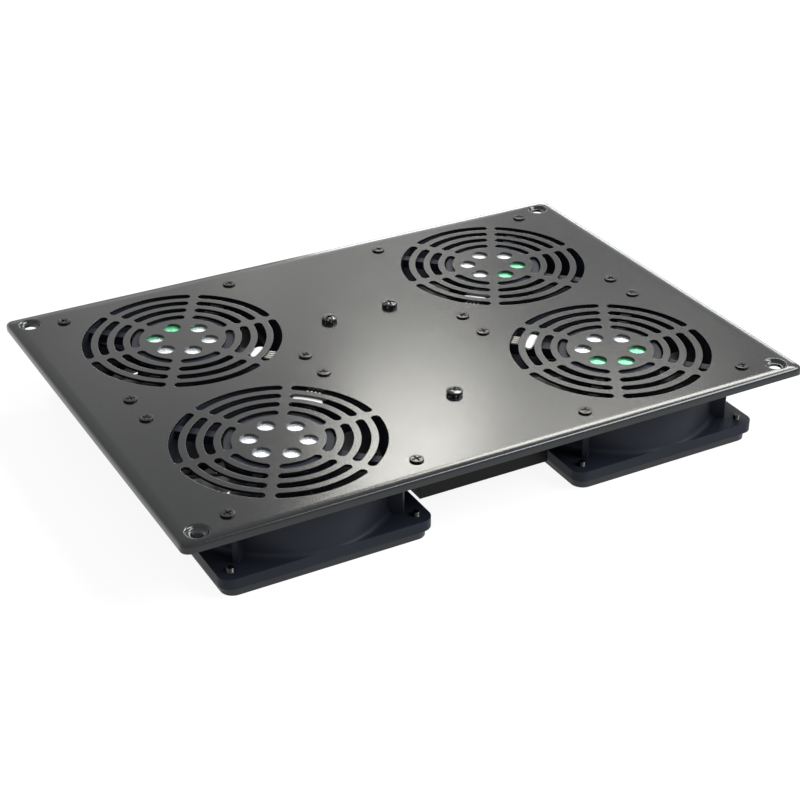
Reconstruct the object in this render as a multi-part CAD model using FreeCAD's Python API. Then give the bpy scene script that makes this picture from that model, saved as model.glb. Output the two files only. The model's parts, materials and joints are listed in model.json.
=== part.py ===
import FreeCAD, Part
import math
import os

from FreeCAD import Rotation, Vector

# Rack fan tray: a pressed steel plate that carries four axial fans and a wiring box underneath.
#
# Frame: millimetres, +X along the plate's long side, +Y from front to back, +Z up.
# The origin is under the plate's centre, on the plane of the finger guards' lower faces.
# Each fan is built about its own axis with its upper face at fan_top, then turned and moved to its place.

# ---------------------------------------------------------------- driving dimensions

# Layout: four fans in two columns, the wiring box between them, and the plate's margin round them.
fan_size = 120.0
fan_gap_x = 88.0
fan_gap_y = 8.0
plate_margin_x = 23.0
plate_margin_y = 10.0
box_side_gap = 4.0

# Top plate: one sheet with its rim bent down.
plate_thickness = 1.5
lip_height = 4.2
bend_radius = 2.0
plate_corner_radius = 4.5

# Corner fixing holes, each at the bottom of a pressed dimple.
mount_inset_x = 12.0
mount_inset_y = 11.0
mount_hole_diameter = 7.0
dimple_depth = 1.9
dimple_bend_radius = 0.3
dimple_flat_width = 0.25

# Grille over each fan: rings of curved slots cut by straight spokes, round a disc with holes.
ring_count = 4
first_ring_radius = 27.4
last_ring_inset = 2.9
slot_width = 5.1
spoke_count = 6
spoke_width = 4.5
hub_hole_count = 6
hub_hole_diameter = 10.0
hub_hole_circle = 31.0

# Fan frame.
fan_height = 38.0
fan_screw_inset = 7.5
flange_thickness = 6.0
flange_corner_radius = 7.0
throat_inset = 2.5
barrel_wall = 2.0
barrel_foot_radius = 3.0
fan_hole_diameter = 4.3
web_thickness = 3.0
web_screw_gap = 6.8

# Struts and motor base, cast in one with the fan frame.
strut_count = 4
strut_width = 6.0
lead_strut_width = 9.0
strut_drop = 1.5
strut_depth = 5.0
base_radius = 29.0
base_thickness = 3.0
skirt_wall = 1.8
skirt_depth = 10.5
label_radius = 22.0
label_thickness = 0.3
label_recess = 0.5
label_clearance = 0.5

# Motor.
shaft_diameter = 4.0
shaft_clearance = 0.05
bearing_diameter = 13.0
bearing_width = 5.0
bearing_span = 17.0
bearing_drop = 6.0
bearing_shoulder = 0.8
tube_wall = 2.0
tube_cap_hole_radius = 4.5
stator_height = 14.0
stator_drop = 0.8
air_gap = 0.45
pole_count = 4
coil_width = 6.0
coil_depth = 7.5
coil_overhang = 2.5
rotor_wall = 2.8
rotor_top_gap = 0.6
rotor_floor_gap = 2.4
clip_radius = 3.6
clip_thickness = 0.6
clip_groove_depth = 0.4
clip_height = 0.4
shaft_end_height = 1.4

# Impeller.
blade_count = 7
tip_clearance = 1.5
hub_radius = 27.0
hub_wall = 1.8
hub_end_wall = 2.0
hub_running_gap = 1.0
hub_end_gap = 1.5
shaft_boss_radius = 5.0
shaft_boss_gap = 0.5
blade_thickness = 1.8
blade_margin = 1.2
blade_root_angle = 52.0
blade_tip_angle = 38.0
blade_camber = 2.6

# Finger guard under each fan.
guard_inset = 2.2
guard_thickness = 5.5
guard_opening_inset = 3.0
guard_disc_radius = 19.0
guard_ring_count = 3
guard_ring_width = 2.2
guard_ring_thickness = 3.0
guard_spoke_width = 3.0

# Screws and nuts that hold the fans and the guards.
screw_diameter = 4.0
screw_head_diameter = 7.5
screw_head_height = 1.0
screw_rim_height = 0.6
screw_hole_clearance = 0.5
thread_gap = 0.05
nut_width = 7.0
nut_height = 3.2
nut_tip = 1.3
guard_screw_head_diameter = 6.8
guard_screw_head_height = 2.0
guard_screw_rim_height = 0.8
guard_screw_tip = 2.5
counterbore_clearance = 0.3
counterbore_margin = 0.4

# Wiring box between the fan columns, and what holds it.
box_length = 177.0
box_centre_y = -11.5
box_height = 35.0
box_wall = 1.2
tall_screw_diameter = 5.0
tall_head_diameter = 9.0
tall_head_height = 2.9
tall_rim_height = 1.7
tall_screw_inset = 33.3
rear_screw_pitch = 40.0
spacer_width = 8.0
tall_screw_reach = 10.0
box_screw_reach = 8.0
box_screw_head_height = 2.6
box_screw_rim_height = 1.0

# Fan leads, their covers on the struts, and their grommets in the wiring box.
lead_diameter = 3.6
lead_start_radius = 14.0
lead_nut_clearance = 0.5
lead_turn_radius = 10.0
lead_drop_radius = 5.0
lead_entry_x = 6.5
lead_notch_clearance = 0.4
cover_length = 17.0
cover_width = 8.0
cover_inset = 11.5
cover_thickness = 1.3
cover_corner_radius = 2.5
grommet_lip = 1.2
grommet_wall = 1.6
grommet_lip_thickness = 1.2

# Terminal strip and cable gland.
terminal_length = 52.0
terminal_width = 24.0
terminal_height = 15.0
terminal_screw_count = 6
terminal_screw_pitch = 7.6
terminal_screw_radius = 1.9
terminal_screw_depth = 3.0
gland_thread_diameter = 16.0
gland_bore_diameter = 8.0
gland_hex_width = 20.0
gland_hex_length = 6.0
gland_dome_length = 14.0
gland_dome_tip_radius = 7.0
gland_inner_length = 9.0
gland_nut_thickness = 4.0
gland_drop = 17.5

# How far a cutting solid runs past the face that it opens.
cut_margin = 2.0

# ---------------------------------------------------------------- worked-out places

fan_pitch_x = fan_size + fan_gap_x
fan_pitch_y = fan_size + fan_gap_y
plate_length = fan_pitch_x + fan_size + 2 * plate_margin_x
plate_depth = fan_pitch_y + fan_size + 2 * plate_margin_y
mount_pitch_x = plate_length - 2 * mount_inset_x
mount_pitch_y = plate_depth - 2 * mount_inset_y
fan_screw_pitch = fan_size - 2 * fan_screw_inset
throat_radius = fan_size / 2 - throat_inset
barrel_radius = throat_radius + barrel_wall
ring_pitch = (throat_radius - last_ring_inset - first_ring_radius) / (ring_count - 1)

guard_bottom = 0.0
fan_bottom = guard_bottom + guard_thickness
fan_top = fan_bottom + fan_height
strut_top = fan_top - strut_drop
strut_bottom = strut_top - strut_depth
plate_bottom = fan_top
plate_top = plate_bottom + plate_thickness
guard_screw_seat = guard_screw_head_height + counterbore_margin
dimple_bend = dimple_bend_radius + plate_thickness
dimple_flat = mount_hole_diameter / 2 + dimple_flat_width
dimple_rim = dimple_flat + math.sqrt(dimple_depth * (4 * dimple_bend - dimple_depth))

hub_inside = hub_radius - hub_wall
impeller_top = fan_top - skirt_depth - hub_running_gap
impeller_bottom = fan_bottom + hub_end_gap
hub_floor = impeller_bottom + hub_end_wall
shaft_seat = impeller_bottom + hub_end_wall / 2
tube_radius = bearing_diameter / 2 + tube_wall
stator_radius = hub_inside - rotor_wall - air_gap
upper_bearing_top = fan_top - bearing_drop
lower_bearing_bottom = upper_bearing_top - bearing_span - bearing_width
stator_top = (upper_bearing_top + lower_bearing_bottom + stator_height) / 2 - stator_drop
clip_bottom = upper_bearing_top + clip_height

box_width = fan_gap_x - 2 * box_side_gap
box_front = box_centre_y - box_length / 2
box_back = box_centre_y + box_length / 2
box_bottom = plate_bottom - box_height
box_floor = box_bottom + box_wall
terminal_top = box_floor + terminal_height
lead_angle = 45.0
lead_height = strut_bottom - lead_diameter / 2
lead_turn_offset = (fan_screw_pitch - nut_width - lead_diameter) / 2 - lead_nut_clearance
lead_exit_y = fan_pitch_y / 2 - lead_turn_offset
grommet_hole_radius = lead_diameter / 2 + grommet_wall

# Side of the tray that each fan is on, and how far it is turned to point its lead at the wiring box.
fan_places = {
    "front_left": (-1, -1, 0.0),
    "back_left": (-1, 1, -90.0),
    "front_right": (1, -1, 90.0),
    "back_right": (1, 1, 180.0),
}
fan_centres = [(sx * fan_pitch_x / 2, sy * fan_pitch_y / 2) for sx, sy, _ in fan_places.values()]
fan_screw_points = [
    (sx * fan_screw_pitch / 2, sy * fan_screw_pitch / 2) for sx in (-1, 1) for sy in (-1, 1)
]
tall_screw_points = [
    (-rear_screw_pitch / 2, box_back - tall_screw_inset),
    (rear_screw_pitch / 2, box_back - tall_screw_inset),
    (0.0, box_front + tall_screw_inset),
]

corner_count = len(fan_screw_points)

up = Vector(0, 0, 1)
origin = Vector(0, 0, 0)


# ---------------------------------------------------------------- basic solids

def cylinder(radius, bottom, top, x=0.0, y=0.0):
    return Part.makeCylinder(radius, top - bottom, Vector(x, y, bottom))


def ring(outer, inner, bottom, top, x=0.0, y=0.0):
    return cylinder(outer, bottom, top, x, y).cut(cylinder(inner, bottom, top, x, y))


def block(length, depth, bottom, top, x=0.0, y=0.0):
    """Upright box, centred on x and y."""
    return Part.makeBox(length, depth, top - bottom, Vector(x - length / 2, y - depth / 2, bottom))


def rounded_block(length, depth, radius, bottom, top, x=0.0, y=0.0):
    """Box with its four upright edges rounded."""
    box = block(length, depth, bottom, top, x, y)
    upright = [e for e in box.Edges if abs(e.Vertexes[0].Z - e.Vertexes[1].Z) > (top - bottom) / 2]
    return box.makeFillet(radius, upright)


def hexagon(width, bottom, top, x=0.0, y=0.0):
    """Hexagonal prism, width measured across its flats."""
    corner = width / math.sqrt(3)
    angles = [math.pi / 3 * i for i in range(6)]
    points = [Vector(x + corner * math.cos(a), y + corner * math.sin(a), bottom) for a in angles]
    face = Part.Face(Part.makePolygon(points + points[:1]))
    return face.extrude(up * (top - bottom))


def revolved(points):
    """Solid of revolution about Z from (radius, height) points."""
    corners = [Vector(r, 0, z) for r, z in points]
    face = Part.Face(Part.makePolygon(corners + corners[:1]))
    return face.revolve(origin, up, 360)


def around(shape, count, start=0.0):
    """Copies of a shape turned evenly about Z."""
    copies = []
    for i in range(count):
        copy = shape.copy()
        copy.rotate(origin, up, start + 360.0 * i / count)
        copies.append(copy)
    return copies


def moved(shape, x, y, z=0.0, turn=0.0):
    copy = shape.copy()
    copy.rotate(origin, up, turn)
    copy.translate(Vector(x, y, z))
    return copy


def at_fan(shape, place):
    """A fan piece, built about the fan's own axis, put in its place in the tray."""
    side_x, side_y, turn = fan_places[place]
    return moved(shape, side_x * fan_pitch_x / 2, side_y * fan_pitch_y / 2, 0.0, turn)


# ---------------------------------------------------------------- top plate

def arc_slot(radius, width, half_angle, bottom, top):
    """Curved slot with round ends, centred on +X; half_angle runs to the centre of each round end."""

    def polar(r, angle, along=0.0):
        c, s = math.cos(angle), math.sin(angle)
        return Vector(r * c - along * s, r * s + along * c, bottom)

    half_width = width / 2
    inner, outer = radius - half_width, radius + half_width
    left_end, right_end = polar(radius, half_angle, half_width), polar(radius, -half_angle, -half_width)
    edges = [
        Part.Arc(polar(inner, -half_angle), polar(inner, 0), polar(inner, half_angle)),
        Part.Arc(polar(inner, half_angle), left_end, polar(outer, half_angle)),
        Part.Arc(polar(outer, half_angle), polar(outer, 0), polar(outer, -half_angle)),
        Part.Arc(polar(outer, -half_angle), right_end, polar(inner, -half_angle)),
    ]
    outline = Part.Wire([edge.toShape() for edge in edges])
    return Part.Face(outline).extrude(up * (top - bottom))


def grille_cuts():
    """Every opening of one grille, about the fan's axis."""
    bottom, top = plate_bottom - cut_margin, plate_top + cut_margin
    sector = math.pi / spoke_count
    cuts = []
    for i in range(ring_count):
        radius = first_ring_radius + i * ring_pitch
        half_angle = sector - math.asin((spoke_width + slot_width) / 2 / radius)
        slot = arc_slot(radius, slot_width, half_angle, bottom, top)
        cuts += around(slot, spoke_count, math.degrees(sector))
    hole = cylinder(hub_hole_diameter / 2, bottom, top, hub_hole_circle / 2)
    cuts += around(hole, hub_hole_count, math.degrees(sector))
    hole_radius = (screw_diameter + screw_hole_clearance) / 2
    cuts += [cylinder(hole_radius, bottom, top, x, y) for x, y in fan_screw_points]
    return cuts


def dimple():
    """Dished ring of sheet round a fixing hole, about Z: two tangent bends lead down to a narrow flat."""
    hole, bend, flat_top = mount_hole_diameter / 2, dimple_bend, plate_top - dimple_depth
    half_turn = math.atan(dimple_depth / (dimple_rim - dimple_flat))
    turn = 2 * half_turn

    def upper(radius, angle):
        return Vector(dimple_rim - radius * math.sin(angle), 0, plate_top - bend + radius * math.cos(angle))

    def lower(radius, angle):
        return Vector(dimple_flat + radius * math.sin(angle), 0, flat_top + bend - radius * math.cos(angle))

    tight, wide = bend - plate_thickness, bend + plate_thickness
    hole_top, hole_bottom = Vector(hole, 0, flat_top), Vector(hole, 0, flat_top - plate_thickness)
    edges = [
        Part.Arc(upper(bend, 0), upper(bend, half_turn), upper(bend, turn)).toShape(),
        Part.Arc(lower(bend, turn), lower(bend, half_turn), lower(bend, 0)).toShape(),
        Part.makeLine(lower(bend, 0), hole_top),
        Part.makeLine(hole_top, hole_bottom),
        Part.makeLine(hole_bottom, lower(wide, 0)),
        Part.Arc(lower(wide, 0), lower(wide, half_turn), lower(wide, turn)).toShape(),
        Part.Arc(upper(tight, turn), upper(tight, half_turn), upper(tight, 0)).toShape(),
        Part.makeLine(upper(tight, 0), upper(bend, 0)),
    ]
    return Part.Face(Part.Wire(edges)).revolve(origin, up, 360)


def top_plate():
    lip_bottom = plate_top - lip_height
    outer = rounded_block(plate_length, plate_depth, plate_corner_radius, lip_bottom, plate_top)
    rim = [e for e in outer.Edges if e.BoundBox.ZMin > plate_top - plate_thickness / 2]
    outer = outer.makeFillet(bend_radius, rim)
    inner_length, inner_depth = plate_length - 2 * plate_thickness, plate_depth - 2 * plate_thickness
    inner_radius = plate_corner_radius - plate_thickness
    inner = rounded_block(inner_length, inner_depth, inner_radius, lip_bottom, plate_bottom)
    rim = [e for e in inner.Edges if e.BoundBox.ZMin > plate_bottom - plate_thickness / 2]
    inner = inner.makeFillet(bend_radius - plate_thickness, rim)
    plate = outer.cut(inner)

    mounts = [(sx * mount_pitch_x / 2, sy * mount_pitch_y / 2) for sx in (-1, 1) for sy in (-1, 1)]
    bottom, top = plate_bottom - cut_margin, plate_top + cut_margin
    plate = plate.cut([cylinder(dimple_rim, bottom, top, x, y) for x, y in mounts])
    plate = plate.fuse([moved(dimple(), x, y) for x, y in mounts]).removeSplitter()

    cuts = [moved(cut, x, y) for x, y in fan_centres for cut in grille_cuts()]
    hole_radius = (tall_screw_diameter + screw_hole_clearance) / 2
    cuts += [cylinder(hole_radius, bottom, top, x, y) for x, y in tall_screw_points]
    return plate.cut(Part.makeCompound(cuts))


# ---------------------------------------------------------------- fan frame

def flange(bottom, top):
    return rounded_block(fan_size, fan_size, flange_corner_radius, bottom, top)


def barrel_foot():
    """Hollow-rounded skirt where the barrel meets the lower flange, trimmed to the flange's square."""
    bottom = fan_bottom + flange_thickness
    inner, outer, top = throat_radius, barrel_radius + barrel_foot_radius, bottom + barrel_foot_radius
    corner = Vector(outer, 0, top)
    diagonal = Vector(-barrel_foot_radius, 0, -barrel_foot_radius) / math.sqrt(2)
    outline = [(barrel_radius, top), (inner, top), (inner, bottom), (outer, bottom)]
    points = [Vector(r, 0, z) for r, z in outline]
    edges = [Part.makeLine(start, end) for start, end in zip(points, points[1:])]
    edges.append(Part.Arc(points[-1], corner + diagonal, points[0]).toShape())
    skirt = Part.Face(Part.Wire(edges)).revolve(origin, up, 360)
    return skirt.common(block(fan_size, fan_size, bottom, top))


def strut(width):
    """One radial bar from the motor base to the barrel, along +X."""
    start, end = base_radius - skirt_wall, throat_radius + barrel_wall / 2
    return block(end - start, width, strut_bottom, strut_top, (start + end) / 2)


def corner_web():
    """Upright web between the flanges, from the barrel towards a corner screw, along +X."""
    start, end = throat_radius + barrel_wall / 2, fan_screw_pitch / math.sqrt(2) - web_screw_gap
    bottom, top = fan_bottom + flange_thickness, fan_top - flange_thickness
    return block(end - start, web_thickness, bottom, top, (start + end) / 2)


def motor_base():
    """Disc and skirt over the motor, with the tube that holds the bearings."""
    half_bearing = bearing_diameter / 2
    inside = base_radius - skirt_wall
    disc_bottom, recess_bottom = fan_top - base_thickness, fan_top - label_recess
    recess = label_radius + label_clearance
    shoulder = half_bearing - bearing_shoulder
    tube_bottom = lower_bearing_bottom - bearing_shoulder
    return revolved([
        (tube_cap_hole_radius, recess_bottom),
        (recess, recess_bottom),
        (recess, fan_top),
        (base_radius, fan_top),
        (base_radius, fan_top - skirt_depth),
        (inside, fan_top - skirt_depth),
        (inside, disc_bottom),
        (tube_radius, disc_bottom),
        (tube_radius, tube_bottom),
        (half_bearing, tube_bottom),
        (half_bearing, lower_bearing_bottom + bearing_width),
        (shoulder, lower_bearing_bottom + bearing_width),
        (shoulder, upper_bearing_top - bearing_width),
        (half_bearing, upper_bearing_top - bearing_width),
        (half_bearing, upper_bearing_top),
        (tube_cap_hole_radius, upper_bearing_top),
    ])


def lead_notch():
    """Passage for the lead through the skirt and the barrel, under its strut."""
    width = lead_diameter + 2 * lead_notch_clearance
    start = base_radius - skirt_wall - cut_margin
    end = barrel_radius + cut_margin
    notch = block(end - start, width, strut_bottom - width, strut_bottom, (start + end) / 2)
    notch.rotate(origin, up, lead_angle)
    return notch


def fan_frame():
    """Two flanges, the barrel and its webs; the corner that the lead leaves by has no web."""
    lower_top, upper_bottom = fan_bottom + flange_thickness, fan_top - flange_thickness
    webs = around(corner_web(), corner_count, lead_angle)[1:]
    body = cylinder(barrel_radius, fan_bottom, fan_top).fuse([
        flange(fan_bottom, lower_top),
        flange(upper_bottom, fan_top),
        barrel_foot(),
        *webs,
    ])
    body = body.cut(cylinder(throat_radius, fan_bottom, fan_top))
    body = body.cut([cylinder(screw_diameter / 2, fan_bottom, lower_top, x, y) for x, y in fan_screw_points])
    holes = [cylinder(fan_hole_diameter / 2, upper_bottom, fan_top, x, y) for x, y in fan_screw_points]
    body = body.cut(holes)

    struts = around(strut(strut_width), strut_count, lead_angle)
    struts += around(strut(lead_strut_width), 1, lead_angle)
    return body.fuse(struts + [motor_base()]).cut(lead_notch()).removeSplitter()


def hub_label():
    bottom = fan_top - label_recess
    return cylinder(label_radius, bottom, bottom + label_thickness)


def lead_cover():
    """Insulating cover on top of the lead's strut."""
    top = strut_top + cover_thickness
    radius = throat_radius - cover_inset
    cover = rounded_block(cover_width, cover_length, cover_corner_radius, strut_top, top, radius)
    cover.rotate(origin, up, lead_angle)
    return cover


# ---------------------------------------------------------------- motor

def coil_slots(clearance=0.0):
    """Blocks that pass through the laminations, one between each pair of poles."""
    bottom = stator_top - stator_height - coil_overhang
    radius = (tube_radius + stator_radius) / 2
    coil = block(coil_depth, coil_width, bottom, stator_top + coil_overhang, radius)
    return around(coil, pole_count, 180.0 / pole_count + lead_angle)


def stator():
    return ring(stator_radius, tube_radius, stator_top - stator_height, stator_top).cut(coil_slots())


def winding():
    return Part.makeCompound(coil_slots())


def bearings():
    bore = shaft_diameter / 2 + shaft_clearance
    upper = ring(bearing_diameter / 2, bore, upper_bearing_top - bearing_width, upper_bearing_top)
    lower = ring(bearing_diameter / 2, bore, lower_bearing_bottom, lower_bearing_bottom + bearing_width)
    return Part.makeCompound([upper, lower])


def shaft():
    rod = cylinder(shaft_diameter / 2, shaft_seat, upper_bearing_top + shaft_end_height)
    groove_radius = shaft_diameter / 2 - clip_groove_depth
    groove = ring(shaft_diameter, groove_radius, clip_bottom, clip_bottom + clip_thickness)
    return rod.cut(groove)


def retaining_clip():
    """Open ring in the shaft's groove; its mouth is as wide as the groove's radius."""
    inner, top = shaft_diameter / 2 - clip_groove_depth, clip_bottom + clip_thickness
    mouth = block(2 * clip_radius, inner, clip_bottom, top, clip_radius)
    return ring(clip_radius, inner, clip_bottom, top).cut(mouth)


def rotor_ring():
    """Squirrel-cage ring pressed into the impeller's hub, round the stator."""
    bottom, top = hub_floor + rotor_floor_gap, impeller_top - rotor_top_gap
    return ring(hub_inside, hub_inside - rotor_wall, bottom, top)


# ---------------------------------------------------------------- impeller

def blade_section(radius, angle, height):
    """Cambered section of a blade, on the plane at a given radius along +X."""
    chord = height / math.sin(math.radians(angle))
    middle = (impeller_top + impeller_bottom) / 2
    half, bow, thick = chord / 2, blade_camber, blade_thickness / 2
    turn = Rotation(Vector(1, 0, 0), angle)

    def point(along, across):
        return Vector(radius, 0, middle) + turn.multVec(Vector(0, along, across))

    lower = Part.Arc(point(-half, -thick), point(0, bow - thick), point(half, -thick)).toShape()
    upper = Part.Arc(point(half, thick), point(0, bow + thick), point(-half, thick)).toShape()
    ends = [
        Part.makeLine(point(half, -thick), point(half, thick)),
        Part.makeLine(point(-half, thick), point(-half, -thick)),
    ]
    return Part.Wire([lower, ends[0], upper, ends[1]])


def impeller():
    """Hub cup with blades; each blade is lofted from inside the hub's wall to past its tip, then trimmed."""
    tip = throat_radius - tip_clearance
    height = impeller_top - impeller_bottom - 2 * blade_margin - blade_thickness
    blade = Part.makeLoft([
        blade_section(hub_inside - blade_thickness, blade_root_angle, height),
        blade_section(tip + blade_thickness, blade_tip_angle, height),
    ], True, True)
    blade = blade.common(ring(tip, hub_radius - hub_wall / 2, impeller_bottom, impeller_top))

    shaft_radius, boss_top = shaft_diameter / 2, lower_bearing_bottom - shaft_boss_gap
    hub = revolved([
        (shaft_radius, shaft_seat),
        (shaft_radius, boss_top),
        (shaft_boss_radius, boss_top),
        (shaft_boss_radius, hub_floor),
        (hub_inside, hub_floor),
        (hub_inside, impeller_top),
        (hub_radius, impeller_top),
        (hub_radius, impeller_bottom),
        (0.0, impeller_bottom),
        (0.0, shaft_seat),
    ])
    return hub.fuse(around(blade, blade_count)).removeSplitter()


# ---------------------------------------------------------------- finger guard

def finger_guard():
    size = fan_size - 2 * guard_inset
    opening = throat_radius - guard_opening_inset
    body = rounded_block(size, size, flange_corner_radius, guard_bottom, fan_bottom)
    body = body.cut(cylinder(opening, guard_bottom, fan_bottom))
    head_radius = guard_screw_head_diameter / 2 + counterbore_clearance
    for x, y in fan_screw_points:
        body = body.cut([
            cylinder(fan_hole_diameter / 2, guard_bottom, fan_bottom, x, y),
            cylinder(head_radius, guard_bottom, guard_bottom + guard_screw_seat, x, y),
        ])
    ring_top = guard_bottom + guard_ring_thickness
    space = (opening - guard_disc_radius) / (guard_ring_count + 1)
    rings = [cylinder(guard_disc_radius, guard_bottom, ring_top)]
    for i in range(guard_ring_count):
        outer = guard_disc_radius + (i + 1) * space + guard_ring_width / 2
        rings.append(ring(outer, outer - guard_ring_width, guard_bottom, ring_top))
    reach = opening + guard_ring_width
    bars = [block(2 * reach, guard_spoke_width, guard_bottom, ring_top)]
    bars += [block(guard_spoke_width, 2 * reach, guard_bottom, ring_top)]
    return body.fuse(rings + bars).removeSplitter()


# ---------------------------------------------------------------- fasteners

def domed_screw(diameter, head_diameter, head_height, rim_height, length):
    """Screw about Z, its domed head above z = 0 and its shank below it."""
    shank, rim = diameter / 2 - thread_gap, head_diameter / 2
    crown = head_height - rim_height
    sphere = (rim ** 2 + crown ** 2) / (2 * crown)
    half_arc = math.asin(rim / sphere) / 2
    shank_outline = [(0.0, head_height), (0.0, -length), (shank, -length), (shank, 0.0)]
    head_outline = [(rim, 0.0), (rim, rim_height)]
    points = [Vector(r, 0, z) for r, z in shank_outline + head_outline]
    middle = Vector(sphere * math.sin(half_arc), 0, head_height - sphere * (1 - math.cos(half_arc)))
    edges = [Part.makeLine(start, end) for start, end in zip(points, points[1:])]
    edges.append(Part.Arc(points[-1], middle, points[0]).toShape())
    return Part.Face(Part.Wire(edges)).revolve(origin, up, 360)


def upside_down(screw):
    copy = screw.copy()
    copy.rotate(origin, Vector(1, 0, 0), 180)
    return copy


def nut(bottom, x, y):
    return hexagon(nut_width, bottom, bottom + nut_height, x, y).cut(
        cylinder(screw_diameter / 2, bottom, bottom + nut_height, x, y))


def fan_screw_places():
    return [(fan_x + x, fan_y + y) for fan_x, fan_y in fan_centres for x, y in fan_screw_points]


def fan_screws():
    length = plate_thickness + flange_thickness + nut_height + nut_tip
    head = (screw_head_diameter, screw_head_height, screw_rim_height)
    screw = domed_screw(screw_diameter, *head, length)
    return Part.makeCompound([moved(screw, x, y, plate_top) for x, y in fan_screw_places()])


def fan_nuts():
    bottom = fan_top - flange_thickness - nut_height
    return Part.makeCompound([nut(bottom, x, y) for x, y in fan_screw_places()])


def guard_screws():
    length = guard_thickness - guard_screw_seat + flange_thickness + guard_screw_tip
    head = (guard_screw_head_diameter, guard_screw_head_height, guard_screw_rim_height)
    screw = domed_screw(screw_diameter, *head, length)
    seat = guard_bottom + guard_screw_seat
    return Part.makeCompound([moved(upside_down(screw), x, y, seat) for x, y in fan_screw_places()])


def centre_screws():
    length = plate_thickness + tall_screw_reach
    head = (tall_head_diameter, tall_head_height, tall_rim_height)
    screw = domed_screw(tall_screw_diameter, *head, length)
    return Part.makeCompound([moved(screw, x, y, plate_top) for x, y in tall_screw_points])


def box_screws():
    length = box_wall + box_screw_reach
    head = (tall_head_diameter, box_screw_head_height, box_screw_rim_height)
    screw = domed_screw(tall_screw_diameter, *head, length)
    return Part.makeCompound([moved(upside_down(screw), x, y, box_bottom) for x, y in tall_screw_points])


def box_spacers():
    """Tapped hexagonal posts between the plate and the wiring box's floor."""
    posts = []
    for x, y in tall_screw_points:
        post = hexagon(spacer_width, box_floor, plate_bottom, x, y)
        posts.append(post.cut(cylinder(tall_screw_diameter / 2, box_floor, plate_bottom, x, y)))
    return Part.makeCompound(posts)


# ---------------------------------------------------------------- wiring box

def wiring_box():
    """Open tray welded from five plates: a floor, two long walls on it and two end walls between them.

    Its rim meets the plate's lower face, and it has holes for the leads, the posts and the gland.
    """
    floor = block(box_width, box_length, box_bottom, box_floor, 0.0, box_centre_y)
    post_hole = tall_screw_diameter / 2 + thread_gap
    plates = [floor.cut([cylinder(post_hole, box_bottom, box_floor, x, y) for x, y in tall_screw_points])]
    for side in (-1, 1):
        middle = side * (box_width - box_wall) / 2
        wall = block(box_wall, box_length, box_floor, plate_bottom, middle, box_centre_y)
        for exit_side in (-1, 1):
            start = Vector(middle - box_wall, exit_side * lead_exit_y, lead_height)
            wall = wall.cut(Part.makeCylinder(grommet_hole_radius, 2 * box_wall, start, Vector(1, 0, 0)))
        plates.append(wall)
        middle = box_centre_y + side * (box_length - box_wall) / 2
        plates.append(block(box_width - 2 * box_wall, box_wall, box_floor, plate_bottom, 0.0, middle))
    start = Vector(0, box_back - 2 * box_wall, plate_bottom - gland_drop)
    gland_hole = Part.makeCylinder(gland_thread_diameter / 2, 3 * box_wall, start, Vector(0, 1, 0))
    plates[-1] = plates[-1].cut(gland_hole)
    return Part.makeCompound(plates)


def grommets():
    """Rubber bushes in the side walls, one round each lead, as (outward distance, radius) profiles."""
    bore, hole = lead_diameter / 2, grommet_hole_radius
    rim = hole + grommet_lip
    bush = revolved([
        (bore, -box_wall - grommet_lip_thickness),
        (rim, -box_wall - grommet_lip_thickness),
        (rim, -box_wall),
        (hole, -box_wall),
        (hole, 0.0),
        (rim, 0.0),
        (rim, grommet_lip_thickness),
        (bore, grommet_lip_thickness),
    ])
    bushes = []
    for side_x, side_y, _ in fan_places.values():
        copy = bush.copy()
        copy.rotate(origin, Vector(0, 1, 0), side_x * 90)
        copy.translate(Vector(side_x * box_width / 2, side_y * lead_exit_y, lead_height))
        bushes.append(copy)
    return Part.makeCompound(bushes)


def terminal_block():
    body = block(terminal_width, terminal_length, box_floor, terminal_top)
    bottom = terminal_top - terminal_screw_depth
    wells = [cylinder(terminal_screw_radius, bottom, terminal_top, 0.0, y) for y in terminal_rows()]
    return body.cut(wells)


def terminal_rows():
    first = -terminal_screw_pitch * (terminal_screw_count - 1) / 2
    return [first + i * terminal_screw_pitch for i in range(terminal_screw_count)]


def terminal_screws():
    radius = terminal_screw_radius - thread_gap
    bottom, top = terminal_top - terminal_screw_depth, terminal_top - thread_gap
    return Part.makeCompound([cylinder(radius, bottom, top, 0.0, y) for y in terminal_rows()])


def along_back(shape):
    """Turns a piece built up the Z axis so that it points out of the box's rear wall."""
    copy = shape.copy()
    copy.rotate(origin, Vector(1, 0, 0), -90)
    copy.translate(Vector(0, box_back, plate_bottom - gland_drop))
    return copy


def cable_gland():
    """Gland body: thread through the wall, hexagon and domed cap outside, one bore right through."""
    thread = cylinder(gland_thread_diameter / 2, -gland_inner_length, 0.0)
    body = thread.fuse(hexagon(gland_hex_width, 0.0, gland_hex_length))
    start = Vector(0, 0, gland_hex_length)
    body = body.fuse(Part.makeCone(gland_hex_width / 2, gland_dome_tip_radius, gland_dome_length, start))
    bore = cylinder(gland_bore_diameter / 2, -gland_inner_length, gland_hex_length + gland_dome_length)
    return along_back(body.cut(bore))


def gland_nut():
    top = -box_wall
    body = hexagon(gland_hex_width, top - gland_nut_thickness, top)
    return along_back(body.cut(cylinder(gland_thread_diameter / 2, top - gland_nut_thickness, top)))


# ---------------------------------------------------------------- fan leads

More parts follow.
